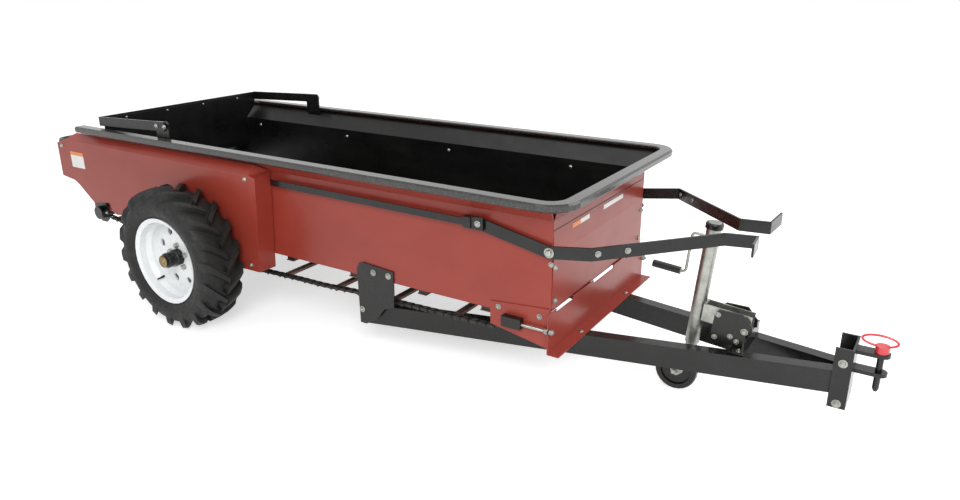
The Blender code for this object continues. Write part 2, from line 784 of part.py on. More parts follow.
PIN_X = 2.935
PIN_COLLAR_Z = 0.3425


def hitch_pin():
    """Draw pin with a tapered point, a collar and an oval ring."""
    rings = []
    for z, r in ((0.190, 0.006), (0.202, 0.011), (PIN_COLLAR_Z + 0.004, 0.011)):
        rings.append([(x, y, z) for x, y in circle((PIN_X, 0), r, 20)])
    pin = make("hitch_pin", *loft(rings), "pin_red", (PIN_X, 0, PIN_COLLAR_Z), smooth=True)
    collar = prism("pin_collar", circle((PIN_X, 0), 0.024, 24), PIN_COLLAR_Z,
                   PIN_COLLAR_Z + 0.026, "z", "pin_red")
    radius, long_half, short_half = 0.0045, 0.057, 0.020
    centre_x = FRONT_REACH - radius - long_half
    centre_z = PIN_COLLAR_Z + 0.022 + short_half
    oval = []
    for i in range(32):
        t = 2 * pi * i / 32
        oval.append((centre_x + long_half * cos(t), 0.0, centre_z + short_half * sin(t)))
    ring = round_bar("pin_ring", oval, radius, "pin_red", (0, 0, 0), 8, closed=True)
    unite(pin, collar, ring)


# ---------------------------------------------------------------- jack
def lean(obj):
    """Turn a piece about the jack's swing pivot into the jack's leaning frame."""
    turn = Matrix.Rotation(JACK_LEAN, 4, "Y")
    pivot = Vector(JACK_PIVOT)
    offset = obj.location - pivot
    obj.data.transform(turn)
    obj.location = pivot + turn @ offset
    return obj


def up_tube(name, profile, place, slot, count=32, origin=None):
    """A closed (radius, z) profile turned about a vertical line at place = (x, y)."""
    rings = []
    for i in range(count):
        t = 2 * pi * i / count
        rings.append([(place[0] + r * cos(t), place[1] + r * sin(t), z) for r, z in profile])
    return make(name, *loft(rings, closed=True), slot, origin or JACK_PIVOT, smooth=True)


TUBE_X = JACK_PIVOT[0] + JACK_TUBE_U
TUBE_LOW = JACK_PIVOT[2] - 0.125
TUBE_TOP = JACK_PIVOT[2] + 0.360
CRANK_Z = JACK_PIVOT[2] + 0.318
GRIP_DROP = 0.165
LEG_LOW = 0.172


def jack_tube():
    """Outer tube, cap and the bracket that holds it in the mount."""
    profile = (
        (TUBE_BORE, TUBE_LOW), (TUBE_R, TUBE_LOW), (TUBE_R, TUBE_TOP), (0.031, TUBE_TOP),
        (0.031, TUBE_TOP + 0.012), (0.024, TUBE_TOP + 0.018), (0.003, TUBE_TOP + 0.020),
        (0.003, TUBE_TOP - 0.060), (TUBE_BORE, TUBE_TOP - 0.060),
    )
    tube = up_tube("jack_tube", profile, (TUBE_X, JACK_Y), "zinc")
    rear, front = TUBE_X + TUBE_R - 0.003, JACK_PIVOT[0] + 0.015
    web, outer, inner = rear + 0.008, 0.029, 0.023
    outline = [(rear, -outer), (front, -outer), (front, -inner), (web, -inner), (web, inner),
               (front, inner), (front, outer), (rear, outer)]
    outline = [(x, JACK_Y + y) for x, y in outline]
    bracket = prism("jack_bracket", outline, JACK_PIVOT[2] - 0.012, JACK_PIVOT[2] + 0.058, "z",
                    "zinc", JACK_PIVOT)
    lean(tube)
    lean(bracket)
    unite(tube, bracket)


def jack_crank():
    """Side-wind crank: stub, arm and grip, turning on the stub."""
    stub_x = TUBE_X - TUBE_R - 0.004
    arm_x = TUBE_X - 0.075
    origin = (stub_x, JACK_Y, CRANK_Z)
    grip_z = CRANK_Z - GRIP_DROP
    points = [(stub_x, JACK_Y, CRANK_Z), (arm_x + 0.012, JACK_Y, CRANK_Z),
              (arm_x + 0.004, JACK_Y, CRANK_Z - 0.004), (arm_x, JACK_Y, CRANK_Z - 0.012),
              (arm_x, JACK_Y, grip_z + 0.012), (arm_x - 0.004, JACK_Y, grip_z + 0.004),
              (arm_x - 0.012, JACK_Y, grip_z), (arm_x - 0.040, JACK_Y, grip_z)]
    arm = round_bar("jack_crank", points, 0.0055, "zinc", origin)
    grip = prism("crank_grip", circle((JACK_Y, grip_z), 0.014, 20), arm_x - 0.130, arm_x - 0.018,
                 "x", "black_paint", origin)
    lean(arm)
    lean(grip)
    unite(arm, grip)


def jack_leg():
    """Inner tube that slides in the jack, down to the caster's plate."""
    profile = ((0.003, LEG_LOW + 0.014), (LEG_R, LEG_LOW + 0.014), (LEG_R, TUBE_TOP - 0.100),
               (0.003, TUBE_TOP - 0.100))
    lean(up_tube("jack_leg", profile, (TUBE_X, JACK_Y), "zinc"))


def caster():
    """Swivel fork and wheel under the leg, trailing towards the rear."""
    base = leg_point(LEG_LOW)
    wheel_x = base.x - CASTER_TRAIL - 0.003
    plate_z = base.z - 0.001
    plate = prism("caster_fork", circle((base.x, JACK_Y), 0.034, 24), plate_z - 0.006,
                  plate_z + 0.004, "z", "zinc", base)
    for i, side in enumerate((-1, 1)):
        near, far = sorted((JACK_Y + side * 0.0245, JACK_Y + side * 0.0285))
        outline = ((base.x + 0.026, plate_z - 0.003), (base.x - 0.028, plate_z - 0.003),
                   (wheel_x - 0.018, CASTER_R + 0.010), (wheel_x - 0.012, CASTER_R - 0.014),
                   (wheel_x + 0.010, CASTER_R - 0.016), (wheel_x + 0.030, CASTER_R))
        unite(plate, prism("fork_cheek_%d" % i, outline, near, far, "y", "zinc", base))
    profile = ((0.007, -0.021), (0.022, -0.021), (0.024, -0.010), (0.058, -0.010),
               (0.062, -0.019), (CASTER_R - 0.004, -0.019), (CASTER_R, -0.012),
               (CASTER_R, 0.012), (CASTER_R - 0.004, 0.019), (0.062, 0.019), (0.058, 0.010),
               (0.024, 0.010), (0.022, 0.021), (0.007, 0.021))
    wheel = [(r, JACK_Y + y) for r, y in profile]
    turned("caster_wheel", wheel, (wheel_x, CASTER_R), "black_paint", 24,
           (wheel_x, JACK_Y, CASTER_R))


def leg_point(z):
    """Where the leaning leg's middle line, measured upright, comes to lie."""
    turn = Matrix.Rotation(JACK_LEAN, 4, "Y")
    pivot = Vector(JACK_PIVOT)
    return pivot + turn @ (Vector((TUBE_X, JACK_Y, z)) - pivot)


def jack_mount():
    """Black plates on the crossmember that carry the jack's swing pivot."""
    low = rail_underside(CROSS_X) + RAIL_HIGH + 0.009
    name = "jack_mount"
    base = block(name, (2.352, JACK_Y - 0.044, low), (CROSS_X - 0.0075, JACK_Y + 0.044, low + 0.006),
                 "black_paint")
    outline = ((2.352, low), (CROSS_X - 0.009, low), (CROSS_X - 0.009, 0.318), (2.508, 0.324),
               (2.508, 0.352), (2.468, 0.398), (2.385, 0.398), (2.366, 0.380))
    for i, side in enumerate((-1, 1)):
        near, far = sorted((JACK_Y + side * 0.036, JACK_Y + side * 0.044))
        unite(base, prism("mount_plate_%d" % i, outline, near, far, "y", "black_paint"))


# ---------------------------------------------------------------- control levers
LEVER_LINE = (
    # x, |y| and z of the middle line of the bar
    (1.548, LEVER_Y, 0.714),
    (LEVER_PIVOT_X, LEVER_Y, 0.652),
    (2.023, LEVER_Y, 0.675),
    (2.381, 0.100, 0.691),
    (2.494, 0.095, 0.698),
    (2.506, 0.215, 0.705),
)


def control_lever(side_name, side):
    """Long flat lever beside the front panel, bent in towards the middle."""
    points = [(x, side * y, z) for x, y, z in LEVER_LINE]
    origin = (LEVER_PIVOT_X, side * LEVER_Y, LEVER_PIVOT_Z)
    bar("control_lever_" + side_name, points, 0.008, 0.048, "black_paint", origin)


def link_bar(side_name, side):
    """Flat link from the lever's rear end back to the chain guard."""
    origin = (LINK_REAR_X, side * LINK_Y, LINK_Z)
    points = [(LINK_REAR_X - 0.014, side * LINK_Y, LINK_Z), (1.520, side * LINK_Y, 0.712)]
    name = "link_bar_" + side_name
    link = bar(name, points, 0.006, 0.028, "black_paint", origin)
    near, far = sorted((side * (LINK_Y - 0.003), side * (LINK_Y + 0.005)))
    eye = ((1.500, 0.690), (1.585, 0.690), (1.585, 0.742), (1.500, 0.734))
    unite(link, prism(name + "_eye", eye, near, far, "y", "black_paint", origin))


# ---------------------------------------------------------------- assembly
PAIRED = (side_panel, chain_guard, skirt, take_up, apron_bearing, axle_hanger, tyre, rim, hub,
          tongue_rail, gusset, control_lever, link_bar)
SINGLE = (front_panel, tub_liner, tub_rim, tub_floor, front_shield, apron_conveyor, beater,
          rear_guard_frame, rear_flap, safety_bar, axle, tongue_crossmember, hitch_post,
          hitch_pin, jack_mount, jack_tube, jack_crank, jack_leg, caster)


def main():
    clear_scene()
    machine = bpy.data.objects.new("machine", None)
    machine.location = (AXLE_X, 0, 0)
    bpy.context.scene.collection.objects.link(machine)
    for build in SINGLE:
        build()
    apron_shaft("apron_shaft_front", FRONT_SHAFT_X)
    apron_shaft("apron_shaft_rear", REAR_SHAFT_X)
    for build in PAIRED:
        for side_name, side in SIDES:
            build(side_name, side)
    bpy.context.view_layer.update()


main()
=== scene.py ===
"""Looks of the towed manure spreader: finishes, tread, chain, bolts and labels.

Metres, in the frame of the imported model.  Places are written from the axle, as in the
part's source: X forward of it, Y to the left, Z up from the ground.
"""
import json
from math import cos, hypot, pi, radians, sin

import bmesh
import bpy
from mathutils import Matrix, Vector


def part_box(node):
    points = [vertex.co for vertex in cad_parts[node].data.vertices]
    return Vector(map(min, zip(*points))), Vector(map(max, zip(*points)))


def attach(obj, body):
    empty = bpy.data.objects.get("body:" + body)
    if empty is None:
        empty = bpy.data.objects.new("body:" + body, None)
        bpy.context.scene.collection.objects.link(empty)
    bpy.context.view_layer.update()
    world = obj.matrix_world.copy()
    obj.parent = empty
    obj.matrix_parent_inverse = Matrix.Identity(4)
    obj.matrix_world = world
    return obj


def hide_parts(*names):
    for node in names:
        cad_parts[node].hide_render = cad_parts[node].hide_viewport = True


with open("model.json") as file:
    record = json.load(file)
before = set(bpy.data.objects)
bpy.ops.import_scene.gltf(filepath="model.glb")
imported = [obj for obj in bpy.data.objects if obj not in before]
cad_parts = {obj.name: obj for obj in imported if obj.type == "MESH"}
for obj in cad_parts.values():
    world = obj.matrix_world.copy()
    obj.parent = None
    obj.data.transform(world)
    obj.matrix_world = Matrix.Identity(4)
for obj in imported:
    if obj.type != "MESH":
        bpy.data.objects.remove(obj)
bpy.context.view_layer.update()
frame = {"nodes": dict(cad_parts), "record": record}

AXLE_LOW, AXLE_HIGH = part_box("axle")
AXLE_X = (AXLE_LOW[0] + AXLE_HIGH[0]) / 2
AXLE_Z = (AXLE_LOW[2] + AXLE_HIGH[2]) / 2
SIDES = (("right", -1), ("left", 1))
PANEL_Y = 0.445           # outer face of a side panel
GUARD_Y = 0.546           # outer face of a chain guard


# ---------------------------------------------------------------- materials
def node(tree, kind, **values):
    made = tree.nodes.new(kind)
    for key, value in values.items():
        if key in made.inputs:
            made.inputs[key].default_value = value
        else:
            setattr(made, key, value)
    return made


def finish(name, colours, scale=6.0, rough=(0.3, 0.45), metallic=0.0, bump=0.05, grain=900.0,
           coat=0.0, streak=(1.0, 1.0, 1.0), spangle=0.0, specular=0.5):
    """A worked surface: mottled colour, uneven gloss, and a fine bump.

    colours are the dark, plain and light tones; streak stretches the mottling.
    """
    made = bpy.data.materials.new(name)
    made.use_nodes = True
    tree = made.node_tree
    link = tree.links.new
    shader = tree.nodes["Principled BSDF"]
    shader.inputs["Metallic"].default_value = metallic
    shader.inputs["Specular IOR Level"].default_value = specular
    shader.inputs["Coat Weight"].default_value = coat
    shader.inputs["Coat Roughness"].default_value = 0.15
    place = node(tree, "ShaderNodeTexCoord")
    stretch = node(tree, "ShaderNodeMapping", Scale=streak)
    link(place.outputs["Object"], stretch.inputs["Vector"])
    mottle = node(tree, "ShaderNodeTexNoise", Scale=scale, Detail=6.0, Roughness=0.62)
    link(stretch.outputs["Vector"], mottle.inputs["Vector"])
    tones = node(tree, "ShaderNodeValToRGB")
    marks = tones.color_ramp.elements
    marks[0].position, marks[0].color = 0.30, (*colours[0], 1)
    marks[1].position, marks[1].color = 0.72, (*colours[2], 1)
    plain = marks.new(0.50)
    plain.color = (*colours[1], 1)
    link(mottle.outputs["Fac"], tones.inputs["Fac"])
    link(tones.outputs["Color"], shader.inputs["Base Color"])
    gloss = node(tree, "ShaderNodeTexNoise", Scale=scale * 5, Detail=4.0)
    link(place.outputs["Object"], gloss.inputs["Vector"])
    spread = node(tree, "ShaderNodeMapRange")
    spread.inputs["From Min"].default_value = 0.3
    spread.inputs["From Max"].default_value = 0.7
    spread.inputs["To Min"].default_value = rough[0]
    spread.inputs["To Max"].default_value = rough[1]
    link(gloss.outputs["Fac"], spread.inputs["Value"])
    link(spread.outputs["Result"], shader.inputs["Roughness"])
    fine = node(tree, "ShaderNodeTexNoise", Scale=grain, Detail=3.0)
    link(place.outputs["Object"], fine.inputs["Vector"])
    height = fine.outputs["Fac"]
    if spangle:
        cells = node(tree, "ShaderNodeTexVoronoi", Scale=spangle)
        link(place.outputs["Object"], cells.inputs["Vector"])
        height = cells.outputs["Distance"]
    relief = node(tree, "ShaderNodeBump", Strength=bump, Distance=0.001)
    link(height, relief.inputs["Height"])
    soft = node(tree, "ShaderNodeBevel", Radius=0.0015)
    soft.samples = 4
    link(soft.outputs["Normal"], relief.inputs["Normal"])
    link(relief.outputs["Normal"], shader.inputs["Normal"])
    return made


LOOKS = {
    "red_paint": finish(
        "red_enamel", ((0.255, 0.032, 0.020), (0.290, 0.039, 0.025), (0.315, 0.046, 0.030)),
        1.6, (0.30, 0.38), bump=0.04, coat=0.12, streak=(1.0, 1.0, 1.6), specular=0.32),
    "black_paint": finish(
        "black_enamel", ((0.0035, 0.0038, 0.0035), (0.0055, 0.006, 0.0055), (0.010, 0.0105, 0.010)),
        9.0, (0.22, 0.36), bump=0.08, coat=0.2, specular=0.30),
    "black_liner": finish(
        "black_liner_sheet", ((0.003, 0.0032, 0.003), (0.005, 0.0055, 0.005), (0.012, 0.012, 0.011)),
        2.2, (0.24, 0.38), bump=0.12, streak=(0.6, 0.6, 3.0), specular=0.22),
    "white_paint": finish(
        "white_enamel", ((0.80, 0.82, 0.83), (0.84, 0.86, 0.87), (0.88, 0.89, 0.90)),
        4.0, (0.24, 0.32), bump=0.03, coat=0.3),
    "tyre_rubber": finish(
        "rubber", ((0.007, 0.007, 0.0068), (0.011, 0.011, 0.0105), (0.021, 0.020, 0.019)),
        14.0, (0.50, 0.72), bump=0.25, grain=500.0, specular=0.35),
    "zinc": finish(
        "zinc_plate", ((0.24, 0.25, 0.22), (0.33, 0.34, 0.31), (0.43, 0.44, 0.40)),
        22.0, (0.26, 0.42), metallic=0.9, bump=0.08, spangle=160.0),
    "chain_steel": finish(
        "oiled_steel", ((0.020, 0.018, 0.016), (0.034, 0.031, 0.028), (0.060, 0.052, 0.044)),
        30.0, (0.35, 0.55), metallic=0.6, bump=0.2, grain=400.0),
    "pin_red": finish(
        "pin_enamel", ((0.50, 0.016, 0.030), (0.62, 0.024, 0.042), (0.70, 0.040, 0.058)),
        15.0, (0.20, 0.34), bump=0.05, coat=0.5),
}
RIM_BLACK = finish(
    "rolled_rim_enamel", ((0.006, 0.006, 0.006), (0.014, 0.014, 0.013), (0.060, 0.058, 0.052)),
    130.0, (0.18, 0.34), bump=0.15, coat=0.4)
BRASS = finish("worn_brass", ((0.10, 0.075, 0.035), (0.22, 0.16, 0.07), (0.36, 0.27, 0.12)),
               40.0, (0.28, 0.45), metallic=0.9, bump=0.1)
LABEL = finish("label_film", ((0.74, 0.74, 0.73), (0.80, 0.80, 0.79), (0.84, 0.84, 0.83)),
               20.0, (0.30, 0.42), bump=0.03)
ORANGE = finish("label_orange", ((0.72, 0.20, 0.02), (0.80, 0.25, 0.03), (0.86, 0.30, 0.05)),
                20.0, (0.30, 0.42), bump=0.03)
PRIMER = finish("brown_primer", ((0.10, 0.050, 0.035), (0.14, 0.070, 0.050), (0.20, 0.10, 0.07)),
                18.0, (0.45, 0.65), bump=0.15)


def dress_cad():
    """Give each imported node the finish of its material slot."""
    slots = {row["node"]: row["material_slot"] for row in frame["record"]["subparts"]}
    for name, slot in slots.items():
        obj = frame["nodes"][name]
        obj.data.materials.clear()
        obj.data.materials.append(RIM_BLACK if name == "tub_rim" else LOOKS[slot])


# ---------------------------------------------------------------- mesh helpers
def at(x, y, z):
    """A place given from the axle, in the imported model's frame."""
    return Vector((x + AXLE_X, y, z))


def piece(name, work, body, look, smooth=True):
    """Turn a bmesh into an object that rides on a body."""
    bmesh.ops.recalc_face_normals(work, faces=work.faces)
    mesh = bpy.data.meshes.new(name)
    work.to_mesh(mesh)
    work.free()
    if smooth:
        mesh.shade_smooth()
        mesh.set_sharp_from_angle(angle=radians(34))
    mesh.materials.append(look)
    obj = bpy.data.objects.new(name, mesh)
    bpy.context.scene.collection.objects.link(obj)
    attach(obj, body)
    return obj


def skin(work, rings, closed=False):
    """Join equal rings of points with faces, capped unless closed."""
    rows = [[work.verts.new(p) for p in ring] for ring in rings]
    count = len(rows[0])
    steps = len(rows) if closed else len(rows) - 1
    for i in range(steps):
        a, b = rows[i], rows[(i + 1) % len(rows)]
        for j in range(count):
            k = (j + 1) % count
            work.faces.new((a[j], a[k], b[k], b[j]))
    if not closed:
        work.faces.new(rows[0])
        work.faces.new(list(reversed(rows[-1])))


def frame_of(axis):
    """Two unit vectors square to an axis."""
    run = Vector(axis).normalized()
    helper = Vector((0, 0, 1)) if abs(run.z) < 0.8 else Vector((1, 0, 0))
    side = run.cross(helper).normalized()
    return run, side, run.cross(side)


def stack(work, place, axis, steps, count):
    """A turned stack: steps are (distance along the axis, radius)."""
    run, side, up = frame_of(axis)
    rings = []
    for reach, radius in steps:
        ring = []
        for i in range(count):
            t = 2 * pi * i / count
            ring.append(place + run * reach + (side * cos(t) + up * sin(t)) * radius)
        rings.append(ring)
    skin(work, rings)


def bolt(work, place, axis, size=0.010):
    """Washer, hex head with a chamfer and the end of the thread."""
    stack(work, place, axis, ((-0.001, size * 1.45), (0.0018, size * 1.45),
                              (0.0022, size * 1.38)), 20)
    head = size * 0.75
    stack(work, place, axis, ((0.0015, size), (head, size), (head + 0.0012, size * 0.86)), 6)
    stack(work, place, axis, ((head, size * 0.52), (head + 0.003, size * 0.52),
                              (head + 0.0042, size * 0.40)), 12)


def dome(work, place, axis, size=0.011):
    """Round head of a carriage bolt."""
    stack(work, place, axis, ((-0.001, size), (0.0015, size), (0.0038, size * 0.82),
                              (0.0056, size * 0.5), (0.0062, size * 0.15)), 18)


def box_bar(work, low, high):
    (x0, y0, z0), (x1, y1, z1) = low, high
    rings = [[(x, y0, z0), (x, y1, z0), (x, y1, z1), (x, y0, z1)] for x in (x0, x1)]
    skin(work, rings)


def turned(work, centre, profile, count):
    """A closed (radius, y) profile turned about the Y axis through centre."""
    rings = []
    for i in range(count):
        t = 2 * pi * i / count
        rings.append([(centre.x + r * cos(t), y, centre.z + r * sin(t)) for r, y in profile])
    skin(work, rings, closed=True)


# ---------------------------------------------------------------- wheels
TYRE_MID = (0.771 + 0.556) / 2
LUG_COUNT = 18
LUG_LINE = (
    # share of the sweep, offset from the tyre's middle, foot radius, top radius, half width
    (0.00, -0.006, 0.308, 0.3425, 0.013),
    (0.32, 0.030, 0.308, 0.3425, 0.014),
    (0.62, 0.064, 0.305, 0.3400, 0.017),
    (0.84, 0.089, 0.295, 0.3330, 0.020),
    (0.96, 0.101, 0.282, 0.3160, 0.019),
    (1.00, 0.1055, 0.272, 0.2960, 0.015),
)
LUG_SWEEP = 0.30


def tyre(side_name, side):
    """Carcass with rounded walls and two rows of slanted lugs."""
    work = bmesh.new()
    centre = at(0, 0, AXLE_Z)
    mid = side * TYRE_MID
    outline = ((0.2105, -0.088), (0.222, -0.097), (0.232, -0.0985), (0.236, -0.1015),
               (0.250, -0.1055), (0.268, -0.1060), (0.284, -0.1025), (0.298, -0.094),
               (0.307, -0.080), (0.312, -0.045), (0.3135, 0.0), (0.312, 0.045), (0.307, 0.080),
               (0.298, 0.094), (0.284, 0.1025), (0.268, 0.1060), (0.250, 0.1055),
               (0.236, 0.1015), (0.232, 0.0985), (0.222, 0.097), (0.2105, 0.088))
    turned(work, centre, [(r, mid + side * y) for r, y in outline], 96)
    for row in (-1, 1):
        for i in range(LUG_COUNT):
            start = 2 * pi * (i + (0.5 if row > 0 else 0.0)) / LUG_COUNT
            rings = []
            for share, offset, foot, top, half in LUG_LINE:
                turn = start + LUG_SWEEP * share
                y = mid + side * row * offset
                ring = []
                for r, spread in ((foot, 1.25), (top, 0.85), (top, -0.85), (foot, -1.25)):
                    t = turn + spread * half / r
                    ring.append((centre.x + r * cos(t), y, centre.z + r * sin(t)))
                rings.append(ring)
            skin(work, rings)
    obj = piece("tyre_with_lugs_" + side_name, work, "wheel_" + side_name,
                LOOKS["tyre_rubber"])
    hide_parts("tyre_" + side_name)


def wheel_trim(side_name, side):
    """Lug nuts round the hub, its brass end and the valve."""
    centre = at(0, 0, AXLE_Z)
    work = bmesh.new()
    for i in range(5):
        t = radians(90) + 2 * pi * i / 5
        place = centre + Vector((0.057 * cos(t), side * 0.672, 0.057 * sin(t)))
        stack(work, place, (0, side, 0), ((-0.002, 0.0125), (0.003, 0.0125), (0.004, 0.0115)), 18)
        stack(work, place, (0, side, 0), ((0.003, 0.011), (0.016, 0.011), (0.018, 0.008)), 6)
    piece("lug_nuts_" + side_name, work, "wheel_" + side_name, LOOKS["zinc"])
    work = bmesh.new()
    stack(work, centre + Vector((0, side * 0.756, 0)), (0, side, 0),
          ((0, 0.0285), (0.004, 0.0285), (0.006, 0.025), (0.006, 0.012), (0.009, 0.010)), 32)
    piece("hub_end_" + side_name, work, "wheel_" + side_name, BRASS)
    work = bmesh.new()
    place = centre + Vector((-0.112, side * 0.690, -0.118))
    stack(work, place, (-0.2, side, -0.2), ((0, 0.006), (0.018, 0.005), (0.020, 0.004),
                                           (0.034, 0.004), (0.036, 0.003)), 14)
    piece("valve_" + side_name, work, "wheel_" + side_name, LOOKS["tyre_rubber"])


# ---------------------------------------------------------------- apron
SHAFT_Z = 0.356
FRONT_SHAFT_X = 1.715
REAR_SHAFT_X = -0.947
PITCH_R = 0.048
CHAIN_Y = 0.400
LINKS = 136
SLAT_EVERY = 8
SAG = (
    # x, z of the hanging run
    (REAR_SHAFT_X, SHAFT_Z - PITCH_R), (-0.60, 0.262), (0.05, 0.232), (0.60, 0.244),
    (0.95, 0.2585), (1.58, 0.2685), (FRONT_SHAFT_X, SHAFT_Z - PITCH_R),
)


def hanging(x):
    for (x0, z0), (x1, z1) in zip(SAG, SAG[1:]):
        if x <= x1:
            t = (x - x0) / (x1 - x0)
            return z0 + (z1 - z0) * t * t * (3 - 2 * t)
    return SAG[-1][1]


def apron_line(count):
    """Evenly spaced points (x, z) round the chain's middle line."""
    span = FRONT_SHAFT_X - REAR_SHAFT_X
    dense = [(REAR_SHAFT_X + span * i / 60, SHAFT_Z + PITCH_R) for i in range(61)]
    for i in range(1, 24):
        t = radians(90 - 7.5 * i)
        dense.append((FRONT_SHAFT_X + PITCH_R * cos(t), SHAFT_Z + PITCH_R * sin(t)))
    for i in range(121):
        x = FRONT_SHAFT_X - span * i / 120
        dense.append((x, hanging(x)))
    for i in range(1, 24):
        t = radians(270 - 7.5 * i)
        dense.append((REAR_SHAFT_X + PITCH_R * cos(t), SHAFT_Z + PITCH_R * sin(t)))
    dense.append(dense[0])
    travel = [0.0]
    for a, b in zip(dense, dense[1:]):
        travel.append(travel[-1] + hypot(b[0] - a[0], b[1] - a[1]))
    line, segment = [], 0
    for i in range(count):
        target = travel[-1] * i / count
        while travel[segment + 1] < target:
            segment += 1
        t = (target - travel[segment]) / (travel[segment + 1] - travel[segment])
        (x0, z0), (x1, z1) = dense[segment], dense[segment + 1]
        line.append(Vector((x0 + (x1 - x0) * t, z0 + (z1 - z0) * t)))
    return line


def apron():
    """Pintle chains of open links, with steel slats bolted across them."""
    line = apron_line(LINKS)
    work = bmesh.new()
    slats = bmesh.new()
    for i, here in enumerate(line):
        ahead = line[(i + 1) % LINKS]
        run = (ahead - here).normalized()
        out = Vector((-run.y, run.x))

        def spot(along, off, y, here=here, run=run, out=out):
            point = here + run * along + out * off
            return at(point.x, y, point.y)

        pitch = (ahead - here).length
        for side in (-1, 1):
            for edge in (-1, 1):
                rings = []
                for along, shift in ((-0.006, 0.0125), (0.008, 0.0125), (pitch - 0.008, 0.0085),
                                     (pitch + 0.005, 0.0085)):
                    y = side * CHAIN_Y + edge * shift
                    rings.append([spot(along, -0.0065, y - 0.0018), spot(along, 0.0065, y - 0.0018),
                                  spot(along, 0.0065, y + 0.0018), spot(along, -0.0065, y + 0.0018)])
                skin(work, rings)
            low = spot(0, 0, side * CHAIN_Y - 0.0155)
            stack(work, low, (0, 1, 0), ((0, 0.0045), (0.031, 0.0045)), 8)
            low = spot(pitch * 0.98, 0, side * CHAIN_Y - 0.0080)
            stack(work, low, (0, 1, 0), ((0, 0.0075), (0.016, 0.0075)), 8)
        if i % 2 == 0:
            for side in (-1, 1):
                rings = []
                for along, tall in ((0.006, 0.0055), (0.013, 0.0175), (0.0165, 0.0165)):
                    y = side * CHAIN_Y
                    rings.append([spot(along, 0.002, y - 0.004), spot(along, tall, y - 0.0025),
                                  spot(along, tall, y + 0.0025), spot(along, 0.002, y + 0.004)])
                skin(work, rings)
        if i % SLAT_EVERY == 4:
            corners = ((-0.016, 0.0068), (0.016, 0.0068), (0.016, 0.0100), (-0.0125, 0.0100),
                       (-0.0125, 0.0195), (-0.016, 0.0195))
            rings = [[spot(a, b, y) for a, b in corners] for y in (-CHAIN_Y, CHAIN_Y)]
            skin(slats, rings)
    chains = piece("apron_chains", work, "machine", LOOKS["chain_steel"])
    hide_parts("apron_conveyor")
    piece("apron_slats", slats, "machine", PRIMER, smooth=False)


# ---------------------------------------------------------------- bolts and small trim
SIDE_BOLTS = (
    # x, height of the face from the centre plane, z, size
    (1.015, 0.4525, 0.396, 0.010), (1.097, 0.4525, 0.397, 0.010), (0.941, 0.4525, 0.209, 0.010),
    (-0.985, 0.4545, 0.357, 0.008), (-0.909, 0.4545, 0.357, 0.008),
    (-1.065, GUARD_Y, 0.736, 0.008), (0.375, GUARD_Y, 0.742, 0.008),
    (0.355, GUARD_Y, 0.330, 0.008),
    (1.640, 0.4500, 0.385, 0.008), (1.820, 0.4500, 0.385, 0.008),
    (-0.045, 0.4585, 0.445, 0.009), (0.045, 0.4585, 0.445, 0.009),
    (-0.245, 0.5195, 0.917, 0.008), (-0.185, 0.5195, 0.917, 0.008),
)
FRONT_BOLTS = ((0.425, 0.582), (0.418, 0.450))
SHIELD_BOLTS = ((1.892, 0.230),)
HITCH_BOLTS = ((2.826, 0.300), (2.826, 0.140))
TAB_X = (0.506, 0.892, 1.267, 1.575)


def fasteners():
    """Bolt heads of the fixed structure, mirrored left and right."""
    work = bmesh.new()
    for _, side in SIDES:
        for x, y, z, size in SIDE_BOLTS:
            bolt(work, at(x, side * y, z), (0, side, 0), size)
        for y, z in FRONT_BOLTS:
            bolt(work, at(1.8655, side * y, z), (1, 0, 0), 0.008)
        for x, y in SHIELD_BOLTS:
            dome(work, at(x, side * y, 0.2515), (0, 0, 1), 0.010)
        for x, z in HITCH_BOLTS:
            bolt(work, at(x, side * 0.0725, z), (0, side, 0), 0.011)
        for y in (0.12, 0.37):
            bolt(work, at(-0.711, side * y, 0.896), (1, 0, 0), 0.007)
        bolt(work, at(2.476, side * 0.095, 0.2635), (0, 0, 1), 0.009)
    piece("frame_bolts", work, "machine", LOOKS["zinc"])
    work = bmesh.new()
    for _, side in SIDES:
        for x in (-0.60, 0.10, 0.80, 1.50):
            dome(work, at(x, side * 0.4378, 0.735), (0, -side, 0), 0.009)
            dome(work, at(x, side * 0.4378, 0.455), (0, -side, 0), 0.009)
    for y in (-0.28, 0.28):
        dome(work, at(1.8552, y, 0.735), (-1, 0, 0), 0.009)
    piece("liner_bolts", work, "machine", LOOKS["zinc"])


def cross_tabs():
    """Ends of the floor's cross members under each side panel."""
    work = bmesh.new()
    for _, side in SIDES:
        for x in TAB_X:
            near, far = sorted((side * 0.405, side * 0.446))
            box_bar(work, at(x - 0.022, near, 0.3475), at(x + 0.022, far, 0.3515))
    piece("cross_member_ends", work, "machine", PRIMER, smooth=False)


SPLICE_BOLTS = ((2.042, 0.446), (2.120, 0.368))


